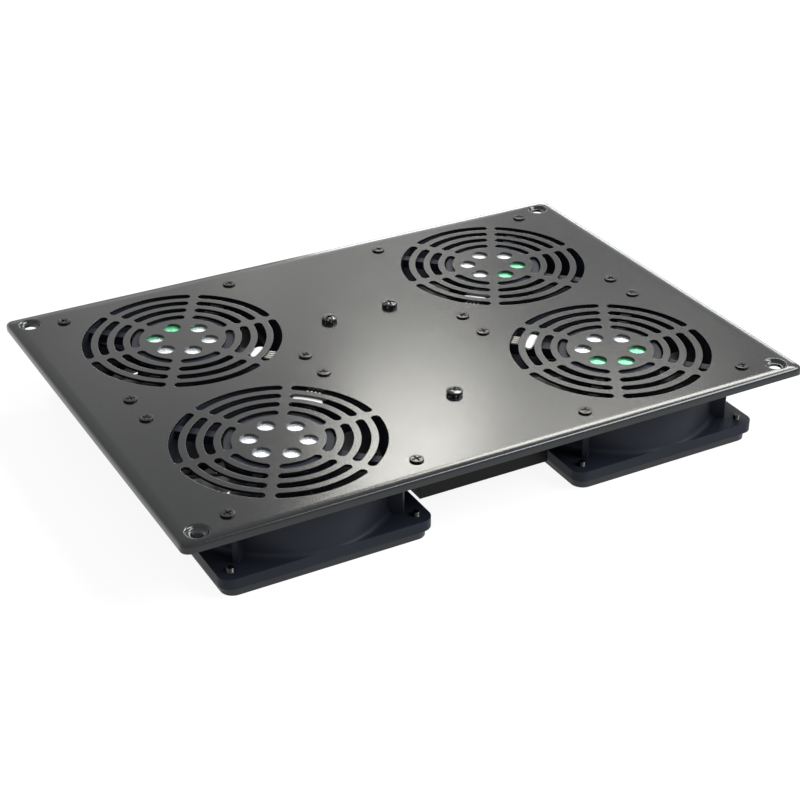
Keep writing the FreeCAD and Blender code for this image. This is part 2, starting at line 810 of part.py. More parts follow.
def rounded_path(points, radii):
    """Straight runs through the points, joined by tangent arcs of the given radii."""
    edges = []
    start = points[0]
    for before, corner, after, radius in zip(points, points[1:], points[2:], radii):
        incoming = (corner - before).normalize()
        outgoing = (after - corner).normalize()
        turn = incoming.getAngle(outgoing)
        setback = radius * math.tan(turn / 2)
        entry, leave = corner - incoming * setback, corner + outgoing * setback
        inward = (outgoing - incoming).normalize()
        middle = corner + inward * (radius / math.cos(turn / 2) - radius)
        edges.append(Part.makeLine(start, entry))
        edges.append(Part.Arc(entry, middle, leave).toShape())
        start = leave
    edges.append(Part.makeLine(start, points[-1]))
    return Part.Wire(edges)


def fan_lead(place):
    """Lead from the motor, under its strut, out through the corner and down into the terminal strip."""
    side_x, side_y, _ = fan_places[place]
    axis = Vector(side_x * fan_pitch_x / 2, side_y * fan_pitch_y / 2, lead_height)
    to_centre = Vector(-side_x, -side_y, 0) / math.sqrt(2)
    start = axis + to_centre * lead_start_radius
    turn = axis + Vector(-side_x, -side_y, 0) * lead_turn_offset
    entry_top = Vector(side_x * lead_entry_x, turn.y, lead_height)
    entry = Vector(entry_top.x, entry_top.y, terminal_top)
    path = rounded_path([start, turn, entry_top, entry], [lead_turn_radius, lead_drop_radius])
    section = Part.Wire(Part.makeCircle(lead_diameter / 2, start, to_centre))
    return path.makePipeShell([section], True, False)


# ---------------------------------------------------------------- nodes

def build():
    nodes = {
        "top_plate": top_plate(),
        "wiring_box": wiring_box(),
        "terminal_block": terminal_block(),
        "terminal_screws": terminal_screws(),
        "grommets": grommets(),
        "cable_gland": cable_gland(),
        "gland_nut": gland_nut(),
        "fan_screws": fan_screws(),
        "fan_nuts": fan_nuts(),
        "guard_screws": guard_screws(),
        "centre_screws": centre_screws(),
        "box_screws": box_screws(),
        "box_spacers": box_spacers(),
        "lead_covers": Part.makeCompound([at_fan(lead_cover(), place) for place in fan_places]),
    }
    fan_pieces = {
        "fan_frame": fan_frame(),
        "hub_label": hub_label(),
        "stator": stator(),
        "winding": winding(),
        "bearings": bearings(),
        "finger_guard": finger_guard(),
        "shaft": shaft(),
        "retaining_clip": retaining_clip(),
        "rotor_ring": rotor_ring(),
        "impeller": impeller(),
    }
    for place in fan_places:
        for name, shape in fan_pieces.items():
            nodes[f"{name}_{place}"] = at_fan(shape, place)
        nodes[f"fan_lead_{place}"] = fan_lead(place)
    return nodes


def export(nodes):
    os.makedirs("parts", exist_ok=True)
    for name, shape in nodes.items():
        shape.exportStep(os.path.join("parts", name + ".step"))


export(build())
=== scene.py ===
"""Rack fan tray: finishes, fasteners, labels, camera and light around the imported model, in metres."""
import json
import math

import bmesh
import bpy
from mathutils import Matrix, Vector


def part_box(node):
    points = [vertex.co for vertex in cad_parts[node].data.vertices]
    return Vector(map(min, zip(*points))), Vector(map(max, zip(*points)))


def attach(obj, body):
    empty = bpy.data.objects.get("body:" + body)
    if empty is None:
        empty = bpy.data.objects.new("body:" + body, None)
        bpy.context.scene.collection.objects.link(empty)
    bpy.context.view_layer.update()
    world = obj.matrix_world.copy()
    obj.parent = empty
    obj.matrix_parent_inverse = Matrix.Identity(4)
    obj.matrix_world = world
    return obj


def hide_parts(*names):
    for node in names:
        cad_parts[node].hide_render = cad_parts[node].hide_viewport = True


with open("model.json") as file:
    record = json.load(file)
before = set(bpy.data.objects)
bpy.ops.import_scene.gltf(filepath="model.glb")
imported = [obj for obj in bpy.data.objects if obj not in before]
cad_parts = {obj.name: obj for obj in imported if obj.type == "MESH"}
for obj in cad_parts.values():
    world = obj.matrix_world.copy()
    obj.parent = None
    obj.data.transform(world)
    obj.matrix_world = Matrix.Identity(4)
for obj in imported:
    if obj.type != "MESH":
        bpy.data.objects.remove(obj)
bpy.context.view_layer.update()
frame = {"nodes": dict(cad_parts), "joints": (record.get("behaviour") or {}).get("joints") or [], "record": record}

MM = 0.001
MICRON = 1e-6
TRAY = "tray"

# Every fan's axis comes from its joint, and the faces that pieces sit on come from the CAD nodes' boxes.
FAN_JOINT = "fan_spin_"
fans = {j["name"][len(FAN_JOINT):]: Vector(j["pos_m"]) for j in frame["joints"]}
plate_low, plate_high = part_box("top_plate")


# ---------------------------------------------------------------- camera, light and floor

CAMERA_AT = Vector((-433.9, -791.1, 519.4)) * MM
CAMERA_AIM = Vector((-29.1, -58.3, 45.0)) * MM
CAMERA_ROLL = math.radians(0.12)
CAMERA_LENS = 80.37
CAMERA_SENSOR = 36.0
CAMERA_CLIP = (0.01, 50.0)

LAMP_DISTANCE = 6.0
WARM = (1.0, 0.975, 0.90)
COOL = (0.93, 0.96, 1.0)
# Name, azimuth, elevation, width, height, radiance and colour of each lamp, as make_lamp takes them.
LAMPS = (
    ("lamp_key", 29.4, 33.4, 4.8, 6.6, 12.6, WARM),
    ("lamp_front", 37.0, 31.3, 9.0, 3.0, 4.6, WARM),
    ("lamp_back", 26.8, 19.5, 9.4, 19.0, 0.75, WARM),
    ("lamp_left", 19.0, 20.0, 8.0, 20.0, 0.4, WARM),
    ("lamp_side", 118.0, 41.0, 46.0, 24.0, 12.0, COOL),
    ("lamp_edge", 50.0, 41.0, 26.0, 9.0, 14.0, WARM),
    ("lamp_low", 38.0, 2.0, 30.0, 10.0, 5.0, COOL),
)
# The grey that the world shows, and the share of it that counts as light.
WORLD_SHADE = 0.8
SKY_LIGHT = 0.66
# The floor's side, the part of its white that shadows can darken, and how much light it gives back.
FLOOR_SIZE = 8.0
FLOOR_SHADOW = 0.14
FLOOR_BOUNCE = 0.8


def grey(shade):
    return (shade, shade, shade, 1.0)


def make_camera():
    data = bpy.data.cameras.new("camera")
    data.sensor_width = CAMERA_SENSOR
    data.lens = CAMERA_LENS
    data.clip_start, data.clip_end = CAMERA_CLIP
    camera = bpy.data.objects.new("camera", data)
    turn = (CAMERA_AIM - CAMERA_AT).to_track_quat("-Z", "Y").to_matrix().to_4x4()
    camera.matrix_world = Matrix.Translation(CAMERA_AT) @ turn @ Matrix.Rotation(CAMERA_ROLL, 4, "Z")
    bpy.context.scene.collection.objects.link(camera)
    bpy.context.scene.camera = camera


def make_lamp(name, azimuth, elevation, wide, high, radiance, colour):
    """Soft rectangular lamp, far enough off to be told by its angles.

    Azimuth runs from the back (+Y) towards the right (+X); wide and high are its size as seen, in degrees.
    Radiance is how bright its face is, where 1 is white.
    """
    turn, lift = math.radians(azimuth), math.radians(elevation)
    toward = Vector((math.sin(turn) * math.cos(lift), math.cos(turn) * math.cos(lift), math.sin(lift)))
    data = bpy.data.lights.new(name, "AREA")
    data.shape = "RECTANGLE"
    data.size = 2 * LAMP_DISTANCE * math.tan(math.radians(wide / 2))
    data.size_y = 2 * LAMP_DISTANCE * math.tan(math.radians(high / 2))
    data.energy = radiance * data.size * data.size_y * math.pi
    data.color = colour
    lamp = bpy.data.objects.new(name, data)
    facing = toward.to_track_quat("Z", "Y").to_matrix().to_4x4()
    lamp.matrix_world = Matrix.Translation(toward * LAMP_DISTANCE) @ facing
    lamp.visible_camera = False
    bpy.context.scene.collection.objects.link(lamp)


def add_node(tree, kind, **inputs):
    """A shader node with the named inputs set to constants."""
    made = tree.nodes.new(kind)
    for name, value in inputs.items():
        made.inputs[name].default_value = value
    return made


def seen_by(tree, *rays):
    """1 for rays of the named kinds, 0 for all others."""
    path = tree.nodes.new("ShaderNodeLightPath")
    total = path.outputs[rays[0]]
    for ray in rays[1:]:
        both = tree.nodes.new("ShaderNodeMath")
        both.operation = "ADD"
        both.use_clamp = True
        tree.links.new(total, both.inputs[0])
        tree.links.new(path.outputs[ray], both.inputs[1])
        total = both.outputs[0]
    return total


def mixed(tree, factor, first, second):
    """The first shader where factor is 0, the second where it is 1."""
    mix = tree.nodes.new("ShaderNodeMixShader")
    tree.links.new(factor, mix.inputs["Fac"])
    tree.links.new(first, mix.inputs[1])
    tree.links.new(second, mix.inputs[2])
    return mix.outputs[0]


def make_world():
    """Even grey all round: the camera, mirrors and clear things see it whole, all else SKY_LIGHT of it."""
    world = bpy.data.worlds.new("studio")
    bpy.context.scene.world = world
    world.use_nodes = True
    tree = world.node_tree
    tree.nodes.clear()
    seen = seen_by(tree, "Is Camera Ray", "Is Glossy Ray", "Is Transmission Ray")
    light = add_node(tree, "ShaderNodeBackground", Color=grey(WORLD_SHADE), Strength=SKY_LIGHT)
    backdrop = add_node(tree, "ShaderNodeBackground", Color=grey(WORLD_SHADE), Strength=1.0)
    out = tree.nodes.new("ShaderNodeOutputWorld")
    tree.links.new(mixed(tree, seen, light.outputs[0], backdrop.outputs[0]), out.inputs["Surface"])


def make_floor():
    """Floor that looks white with a soft shadow from above, and is clear from below."""
    mesh = bpy.data.meshes.new("floor")
    half = FLOOR_SIZE / 2
    corners = [(-half, -half, 0.0), (half, -half, 0.0), (half, half, 0.0), (-half, half, 0.0)]
    mesh.from_pydata(corners, [], [(0, 1, 2, 3)])
    floor = bpy.data.objects.new("floor", mesh)
    bpy.context.scene.collection.objects.link(floor)
    material = bpy.data.materials.new("floor")
    material.use_nodes = True
    tree = material.node_tree
    tree.nodes.clear()
    shade = add_node(tree, "ShaderNodeBsdfDiffuse", Color=grey(FLOOR_SHADOW))
    glow = add_node(tree, "ShaderNodeEmission", Strength=1.0 - FLOOR_SHADOW * SKY_LIGHT)
    white = tree.nodes.new("ShaderNodeAddShader")
    tree.links.new(shade.outputs[0], white.inputs[0])
    tree.links.new(glow.outputs[0], white.inputs[1])
    plain = add_node(tree, "ShaderNodeBsdfDiffuse", Color=grey(FLOOR_BOUNCE))
    clear = tree.nodes.new("ShaderNodeBsdfTransparent")
    geometry = tree.nodes.new("ShaderNodeNewGeometry")
    out = tree.nodes.new("ShaderNodeOutputMaterial")
    seen = seen_by(tree, "Is Camera Ray", "Is Glossy Ray")
    above = mixed(tree, seen, plain.outputs[0], white.outputs[0])
    sides = mixed(tree, geometry.outputs["Backfacing"], above, clear.outputs[0])
    tree.links.new(sides, out.inputs["Surface"])
    mesh.materials.append(material)


# ---------------------------------------------------------------- finishes

# The levels between which most of a noise texture lies, and the rays that a rounded edge takes.
NOISE_SPREAD = (0.3, 0.7)
EDGE_SAMPLES = 4

# The size of the patches in which paint and plastic change shade and gloss.
SHADE_PATCH = 40 * MM
GLOSS_PATCH = 18 * MM

# How far in from the plate's edges its face begins to fall, how deep, and how much faster near the edge.
EDGE_FALL_REACH = 8.0 * MM
EDGE_FALL = 1.5 * MM
EDGE_FALL_POWER = 2.5

PLATE_SHADES = ((21, 21, 22), (26, 26, 27))
PLATE_SHEEN = (0.955, 0.985, 1.0, 1.0)
PLATE_ROUGHNESS = (0.13, 0.15)
PLATE_EDGE = 0.3 * MM
PLATE_GRAIN = 0.8 * MM
PLATE_GRAIN_DEPTH = 24 * MICRON

PLASTIC_IOR = 1.46
PLASTIC_EDGE = 0.2 * MM
METAL_EDGE = 0.1 * MM
TOOL_LINE_STRETCH = 0.04
TOOL_LINE_DEPTH = 2 * MICRON

METAL_PATCH = 3 * MM

# Where a blackened screw has rubbed bright: size of the spots, and how softly they end in noise levels.
WEAR_SPOT = 1.6 * MM
WEAR_FADE = 0.08
SCREW_GLOSS_PATCH = 2 * MM
SCREW_GRAIN = 0.5 * MM
SCREW_GRAIN_DEPTH = 6 * MICRON

FILM_SHADES = ((120, 132, 142), (250, 253, 255))
GREEN_SHADES = ((30, 140, 84), (132, 232, 176))
GREEN_BORDER = 0.3 * MM
LABEL_METALLIC = 0.55
LABEL_ROUGHNESS = (0.22, 0.36)
LABEL_FLECK = 0.9 * MM
LABEL_FLECK_LEVELS = (0.36, 0.5)
LABEL_GLOSS_PATCH = 4 * MM
LABEL_WAVE = 1.6 * MM
LABEL_WAVE_DEPTH = 30 * MICRON


def linear(value):
    """A colour written as 0 to 255 screen levels, as the linear colour that shaders use."""
    return tuple((v / 255.0) ** 2.2 for v in value) + (1.0,)


class Finish:
    """A node material: one Principled shader with surface detail measured in metres."""

    def __init__(self, name, metallic=0.0, ior=1.5, **sockets):
        self.material = bpy.data.materials.new(name)
        self.material.use_nodes = True
        self.tree = self.material.node_tree
        self.shader = self.tree.nodes["Principled BSDF"]
        self.place = self.node("ShaderNodeTexCoord").outputs["Object"]
        self.normal = None
        self.set("Metallic", metallic)
        self.set("IOR", ior)
        for socket, value in sockets.items():
            self.set(socket.replace("_", " "), value)

    def node(self, kind, **settings):
        made = self.tree.nodes.new(kind)
        for key, value in settings.items():
            setattr(made, key, value)
        return made

    def link(self, start, end):
        self.tree.links.new(start, end)

    def set(self, socket, value):
        self.shader.inputs[socket].default_value = value

    def put(self, value, target):
        """Feeds an input from an output, or sets it to a constant."""
        if isinstance(value, bpy.types.NodeSocket):
            self.link(value, target)
        else:
            target.default_value = value

    def stretched(self, scale):
        """The place coordinates, scaled along each axis."""
        made = self.node("ShaderNodeMapping")
        made.inputs["Scale"].default_value = scale
        self.link(self.place, made.inputs["Vector"])
        return made.outputs["Vector"]

    def noise(self, size, detail=3.0, rough=0.5, place=None):
        """Noise whose features are about size metres across, from 0 to 1."""
        made = self.node("ShaderNodeTexNoise")
        made.inputs["Scale"].default_value = 1.0 / size
        made.inputs["Detail"].default_value = detail
        made.inputs["Roughness"].default_value = rough
        self.link(place or self.place, made.inputs["Vector"])
        return made.outputs["Fac"]

    def calculate(self, operation, first, second):
        made = self.node("ShaderNodeMath", operation=operation)
        self.put(first, made.inputs[0])
        self.put(second, made.inputs[1])
        return made.outputs[0]

    def remap(self, value, low, high, to_low=0.0, to_high=1.0):
        """A number from to_low to to_high, and no further, as the value runs from low to high."""
        made = self.node("ShaderNodeMapRange", clamp=True)
        numbers = {"From Min": low, "From Max": high, "To Min": to_low, "To Max": to_high}
        for socket, number in numbers.items():
            made.inputs[socket].default_value = number
        self.link(value, made.inputs["Value"])
        return made.outputs["Result"]

    def blend(self, value, first, second):
        """A colour that runs from first to second as value runs from 0 to 1; either may be an output."""
        made = self.node("ShaderNodeMix", data_type="RGBA")
        self.link(value, made.inputs["Factor"])
        for socket, colour in (("A", first), ("B", second)):
            self.put(colour, next(i for i in made.inputs if i.name == socket and i.type == "RGBA"))
        return next(o for o in made.outputs if o.type == "RGBA")

    def colour(self, output):
        self.link(output, self.shader.inputs["Base Color"])

    def roughness(self, value, low, high):
        """Roughness that wanders between low and high, as a noise value does."""
        self.link(self.remap(value, *NOISE_SPREAD, low, high), self.shader.inputs["Roughness"])

    def round_edges(self, radius):
        made = self.node("ShaderNodeBevel", samples=EDGE_SAMPLES)
        made.inputs["Radius"].default_value = radius
        self.normal = made.outputs["Normal"]
        self.link(self.normal, self.shader.inputs["Normal"])

    def bump(self, value, depth):
        """Relief of the given depth in metres, laid over what is there already."""
        made = self.node("ShaderNodeBump")
        made.inputs["Strength"].default_value = 1.0
        made.inputs["Distance"].default_value = depth
        self.link(value, made.inputs["Height"])
        if self.normal:
            self.link(self.normal, made.inputs["Normal"])
        self.normal = made.outputs["Normal"]
        self.link(self.normal, self.shader.inputs["Normal"])


def painted(name, dark, light, roughness, grain, depth, edge, shine=0.5, ior=1.5):
    """Paint or powder coat: two close shades, a wandering gloss and a fine orange peel."""
    finish = Finish(name, ior=ior, Specular_IOR_Level=shine)
    finish.colour(finish.blend(finish.noise(SHADE_PATCH, 4), linear(dark), linear(light)))
    finish.roughness(finish.noise(GLOSS_PATCH, 5, 0.6), *roughness)
    finish.round_edges(edge)
    finish.bump(finish.noise(grain, 2), depth)
    finish.bump(finish.noise(grain / 4, 2), depth / 5)
    return finish.material


def plate_finish(name):
    """Black powder coat, with the slight fall that bending leaves along the plate's four edges."""
    finish = Finish(name, Specular_Tint=PLATE_SHEEN)
    finish.colour(finish.blend(finish.noise(SHADE_PATCH, 4), *(linear(shade) for shade in PLATE_SHADES)))
    finish.roughness(finish.noise(GLOSS_PATCH, 5, 0.6), *PLATE_ROUGHNESS)
    finish.round_edges(PLATE_EDGE)
    split = finish.node("ShaderNodeSeparateXYZ")
    finish.link(finish.place, split.inputs["Vector"])
    for axis, low, high in (("X", plate_low.x, plate_high.x), ("Y", plate_low.y, plate_high.y)):
        for start, end in ((low, low + EDGE_FALL_REACH), (high, high - EDGE_FALL_REACH)):
            inward = finish.remap(split.outputs[axis], start, end)
            fall = finish.calculate("POWER", finish.calculate("SUBTRACT", 1.0, inward), EDGE_FALL_POWER)
            finish.bump(finish.remap(fall, 0.0, 1.0, 1.0, 0.0), EDGE_FALL)
    finish.bump(finish.noise(PLATE_GRAIN, 3, 0.7), PLATE_GRAIN_DEPTH)
    return finish.material


def moulded(name, dark, light, roughness, grain, depth, edge=PLASTIC_EDGE):
    """Moulded plastic with a spark-eroded texture."""
    return painted(name, dark, light, roughness, grain, depth, edge, ior=PLASTIC_IOR)


def bare_metal(name, dark, light, roughness, line):
    """Bare or plated metal with fine tool lines along X, each about as wide as line."""
    finish = Finish(name, metallic=1.0)
    streaks = finish.noise(line, 2, place=finish.stretched((TOOL_LINE_STRETCH, 1.0, 1.0)))
    finish.colour(finish.blend(finish.noise(METAL_PATCH, 4), linear(dark), linear(light)))
    finish.roughness(streaks, *roughness)
    finish.round_edges(METAL_EDGE)
    finish.bump(streaks, TOOL_LINE_DEPTH)
    return finish.material


def worn_black(name, dark, bare, roughness, wear, edge, shine=0.5):
    """Blackened screw with spots rubbed through to bright metal: more and larger ones with more wear."""
    finish = Finish(name, Specular_IOR_Level=shine)
    start = 1.0 - wear
    rubbed = finish.remap(finish.noise(WEAR_SPOT, 5, 0.65), start, start + WEAR_FADE)
    finish.colour(finish.blend(rubbed, linear(dark), linear(bare)))
    finish.link(rubbed, finish.shader.inputs["Metallic"])
    finish.roughness(finish.noise(SCREW_GLOSS_PATCH, 4), *roughness)
    finish.round_edges(edge)
    finish.bump(finish.noise(SCREW_GRAIN, 3), SCREW_GRAIN_DEPTH)
    return finish.material


def label_finish(name, centre, direction, reach):
    """Silver-white film with a plain green area: all that lies further than reach along direction."""
    finish = Finish(name, metallic=LABEL_METALLIC)
    flecks = finish.remap(finish.noise(LABEL_FLECK, 3, 0.6), *LABEL_FLECK_LEVELS)
    film = finish.blend(flecks, *(linear(shade) for shade in FILM_SHADES))
    if direction is not None:
        angle = math.radians(direction)
        along = finish.node("ShaderNodeVectorMath", operation="DOT_PRODUCT")
        along.inputs[1].default_value = (math.cos(angle), math.sin(angle), 0.0)
        finish.link(finish.place, along.inputs[0])
        start = centre.x * math.cos(angle) + centre.y * math.sin(angle) + reach
        inside = finish.remap(along.outputs["Value"], start - GREEN_BORDER, start + GREEN_BORDER)
        green = finish.blend(flecks, *(linear(shade) for shade in GREEN_SHADES))
        film = finish.blend(inside, film, green)
    finish.colour(film)
    finish.roughness(finish.noise(LABEL_GLOSS_PATCH, 3), *LABEL_ROUGHNESS)
    finish.bump(finish.noise(LABEL_WAVE, 2), LABEL_WAVE_DEPTH)
    return finish.material


# Each slot's finish: the function that makes it, and what that takes after the name.
FINISHES = {
    "plate_paint": (plate_finish,),
    "box_paint": (painted, (14, 14, 15), (20, 20, 21), (0.30, 0.38), 1.1 * MM, 6 * MICRON, 0.3 * MM, 0.16),
    "frame_paint": (painted, (33, 36, 43), (42, 45, 53), (0.42, 0.52), 1.6 * MM, 10 * MICRON, 0.5 * MM, 0.12),
    "impeller_plastic": (moulded, (26, 26, 28), (36, 36, 38), (0.38, 0.5), 0.7 * MM, 6 * MICRON),
    "guard_plastic": (moulded, (26, 28, 33), (35, 37, 42), (0.40, 0.5), 0.7 * MM, 8 * MICRON, 0.4 * MM),
    "black_screw": (worn_black, (16, 16, 17), (150, 149, 143), (0.17, 0.21), 0.27, 0.12 * MM, 0.36),
    "gloss_black_screw": (worn_black, (14, 14, 15), (225, 224, 220), (0.08, 0.14), 0.40, 0.1 * MM),
    "zinc_steel": (bare_metal, (50, 51, 51), (84, 84, 82), (0.24, 0.36), 0.4 * MM),
    "brass_spacer": (bare_metal, (170, 140, 80), (205, 176, 110), (0.25, 0.38), 0.3 * MM),
    "terminal_plastic": (moulded, (196, 192, 180), (214, 210, 198), (0.4, 0.5), 0.8 * MM, 6 * MICRON),
    "terminal_brass": (bare_metal, (170, 140, 80), (205, 176, 110), (0.3, 0.42), 0.3 * MM),
    "grommet_rubber": (moulded, (24, 24, 24), (34, 34, 34), (0.6, 0.72), 0.5 * MM, 12 * MICRON, 0.3 * MM),
    "gland_plastic": (moulded, (34, 34, 36), (44, 44, 46), (0.42, 0.54), 0.8 * MM, 8 * MICRON),
    "white_insulator": (moulded, (236, 237, 236), (250, 250, 249), (0.35, 0.45), 1.2 * MM, 8 * MICRON,
                        0.3 * MM),
    "lamination": (bare_metal, (110, 110, 114), (150, 150, 152), (0.35, 0.5), 0.5 * MM),
    "copper_winding": (bare_metal, (150, 84, 50), (190, 112, 70), (0.3, 0.42), 0.3 * MM),
    "bearing_steel": (bare_metal, (170, 170, 172), (205, 205, 206), (0.14, 0.24), 0.3 * MM),
    "shaft_steel": (bare_metal, (160, 160, 162), (195, 195, 196), (0.2, 0.3), 0.3 * MM),
    "spring_steel": (bare_metal, (80, 80, 84), (120, 120, 124), (0.28, 0.4), 0.3 * MM),
    "rotor_aluminium": (bare_metal, (165, 167, 170), (200, 202, 204), (0.3, 0.44), 0.4 * MM),
    "lead_sheath": (moulded, (26, 26, 27), (38, 38, 39), (0.42, 0.52), 0.8 * MM, 6 * MICRON),
}
materials = {name: make(name, *rest) for name, (make, *rest) in FINISHES.items()}
slots = {part["node"]: part["material_slot"] for part in frame["record"]["subparts"]}

# The side of each label that is green, as an angle in the plate's plane, and how far off the axis it begins.
LABEL_GREEN = {
    "front_left": (None, 0.0),
    "back_left": (95.0, 10.5 * MM),
    "front_right": (270.0, 0.0),
    "back_right": (300.0, 7.5 * MM),
}


def dress_nodes():
    """Gives every CAD node its slot's material."""
    for name, node in frame["nodes"].items():
        slot = slots[name]
        if slot == "label":
            place = name[len("hub_label_"):]
            finish = label_finish(name, fans[place], *LABEL_GREEN[place])
        else:
            finish = materials[slot]
        node.data.materials.clear()
        node.data.materials.append(finish)


# ---------------------------------------------------------------- meshes

ROUND_STEPS = 48
ROUND_ANGLES = [2 * math.pi * i / ROUND_STEPS for i in range(ROUND_STEPS)]
BEVEL_STEPS = 3


def solid_boxes(node):
    """(lowest corner, highest corner) of each separate solid in a CAD node."""
    mesh = bmesh.new()
    mesh.from_mesh(frame["nodes"][node].data)
    bmesh.ops.remove_doubles(mesh, verts=mesh.verts, dist=MICRON)
    left = set(mesh.verts)
    boxes = []
    while left:
        found, queue = set(), [left.pop()]
        while queue:
            vert = queue.pop()
            found.add(vert)
            for edge in vert.link_edges:
                other = edge.other_vert(vert)
                if other in left:
                    left.remove(other)
                    queue.append(other)
        low = Vector([min(v.co[i] for v in found) for i in range(3)])
        high = Vector([max(v.co[i] for v in found) for i in range(3)])
        boxes.append((low, high))
    mesh.free()
    return sorted(boxes, key=lambda box: tuple(round(c, 6) for c in box[0]))


def add_row(mesh, radii, height):
    """New vertices round Z at a height, one for each radius."""
    return [mesh.verts.new((radius * math.cos(angle), radius * math.sin(angle), height))
            for radius, angle in zip(radii, ROUND_ANGLES)]


def stitch(mesh, first, second):
    """Faces between two closed rows of vertices, of which one may be a single point."""
    steps = max(len(first), len(second))
    for i in range(steps):
        j = (i + 1) % steps
        corners = [first[i % len(first)], first[j % len(first)],
                   second[j % len(second)], second[i % len(second)]]
        mesh.faces.new(list(dict.fromkeys(corners)))


def lathe(profile):
    """Closed surface of revolution about Z from (radius, height) points, from the axis to the axis."""
    mesh = bmesh.new()
    rows = []
    for radius, height in profile:
        on_axis = radius < MICRON
        rows.append(add_row(mesh, [0.0] if on_axis else [radius] * ROUND_STEPS, height))
    for first, second in zip(rows, rows[1:]):
        stitch(mesh, first, second)
    bmesh.ops.recalc_face_normals(mesh, faces=mesh.faces)
    return mesh


def arc_points(centre, radius, start, end, steps):
    """Points of a circular arc, its angles in degrees."""
    points = []
    for i in range(steps + 1):
        angle = math.radians(start + (end - start) * i / steps)
        points.append((centre[0] + radius * math.cos(angle), centre[1] + radius * math.sin(angle)))
    return points


def prism(outline, low, high, edge):
    """Upright prism over an outline, its upper edge rounded off by edge."""
    mesh = bmesh.new()
    base = [mesh.verts.new((x, y, low)) for x, y in outline]
    face = mesh.faces.new(base)
    made = bmesh.ops.extrude_face_region(mesh, geom=[face])
    top = [item for item in made["geom"] if isinstance(item, bmesh.types.BMVert)]
    bmesh.ops.translate(mesh, verts=top, vec=(0.0, 0.0, high - low))
    bmesh.ops.recalc_face_normals(mesh, faces=mesh.faces)
    rim = [e for e in mesh.edges if all(v.co.z > high - MICRON for v in e.verts)]
    bmesh.ops.bevel(mesh, geom=rim, offset=edge, segments=BEVEL_STEPS, affect="EDGES", profile=0.5)
    return mesh


def mesh_data(name, mesh):
    data = bpy.data.meshes.new(name)
    mesh.to_mesh(data)
    mesh.free()
    return data


def smoothed(data, sharp_angle):
    """Smooth shading, with edges left sharp where they turn by more than sharp_angle degrees."""
    data.shade_smooth()
    data.set_sharp_from_angle(angle=math.radians(sharp_angle))
    return data


def joined(name, placed):
    """One mesh out of pairs of a mesh and the matrix that puts a copy of it in place."""
    mesh = bmesh.new()
    for template, placing in placed:
        copy = template.copy()
        copy.transform(placing)
        mesh.from_mesh(copy)
        bpy.data.meshes.remove(copy)
    return mesh_data(name, mesh)


def carved(name, body, cutter):
    """The body's mesh with the cutter's mesh taken out of it."""
    whole = bpy.data.objects.new(name, body)
    tool = bpy.data.objects.new(name + "_cutter", cutter)
    for thing in (whole, tool):
        bpy.context.scene.collection.objects.link(thing)
    change = whole.modifiers.new("cut", "BOOLEAN")
    change.operation = "DIFFERENCE"
    change.solver = "EXACT"
    change.object = tool
    bpy.context.view_layer.update()
    evaluated = whole.evaluated_get(bpy.context.evaluated_depsgraph_get())
    data = bpy.data.meshes.new_from_object(evaluated)
    for thing in (whole, tool):
        bpy.data.objects.remove(thing)
    data.name = name
    return data


def add_piece(name, data, finish_slot, *replaced):
    """Adds a mesh that rides on the tray, in its slot's material and in place of the named CAD nodes."""
    piece = bpy.data.objects.new(name, data)
    bpy.context.scene.collection.objects.link(piece)
    data.materials.append(materials[finish_slot])
    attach(piece, TRAY)
    if replaced:
        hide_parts(*replaced)


# ---------------------------------------------------------------- screws

THREAD_PITCH = 0.7 * MM
THREAD_DEPTH = 0.28 * MM
HEAD_CHAMFER = 0.1 * MM
RIM_STEPS = 6
CROWN_SHARES = (0.75, 0.5, 0.25)
SCREW_SHARP = 35.0
# CAD vertices whose radii or heights agree this closely count as level.
LEVEL = 10 * MICRON

# A cross recess: reach and width of its arms as shares of the head's radius, and depth of its height.
FLAT_CROSS = (0.72, 0.32, 0.8)
TALL_CROSS = (0.8, 0.27, 0.5)
# The recess cutter's taper: height from the head's top in depths, and the shares of its length and width.
CROSS_TAPER = ((-1.0, 0.5, 0.8), (0.0, 1.0, 1.0), (1.0, 1.4, 1.2))
# How the crosses are turned, in degrees, one screw after the other.
TURNS = (12.0, 57.0, 80.0, 33.0, 5.0, 68.0, 41.0)

# Each node of screws: slot, rounding of the rim, height of the crown, recess, and whether the head is below.
SCREWS = {
    "fan_screws": ("black_screw", 0.15 * MM, 0.03 * MM, FLAT_CROSS, False),
    "centre_screws": ("gloss_black_screw", 0.45 * MM, 0.3 * MM, TALL_CROSS, False),
    "guard_screws": ("zinc_steel", 0.4 * MM, 0.4 * MM, TALL_CROSS, True),
    "box_screws": ("black_screw", 0.5 * MM, 0.4 * MM, TALL_CROSS, True),
}


def cross_cutter(head_radius, head_height, long_share, wide_share, depth_share):
    """Tapered four-armed plug that leaves a cross recess in a screw's head."""
    mesh = bmesh.new()
    reach, half = head_radius * long_share, head_radius * wide_share / 2
    depth = head_height * depth_share
    rows = []
    for level, long, wide in CROSS_TAPER:
        arm, side, height = reach * long, half * wide, head_height + depth * level
        outline = []
        for quarter in range(4):
            spin = Matrix.Rotation(quarter * math.pi / 2, 3, "Z")
            corners = ((side, -side, height), (arm, -side, height), (arm, side, height))
            outline += [spin @ Vector(corner) for corner in corners]
        rows.append([mesh.verts.new(corner) for corner in outline])
    mesh.faces.new(rows[0])
    mesh.faces.new(rows[-1])
    for low, high in zip(rows, rows[1:]):
        stitch(mesh, low, high)
    bmesh.ops.recalc_face_normals(mesh, faces=mesh.faces)
    return mesh_data("cross", mesh)


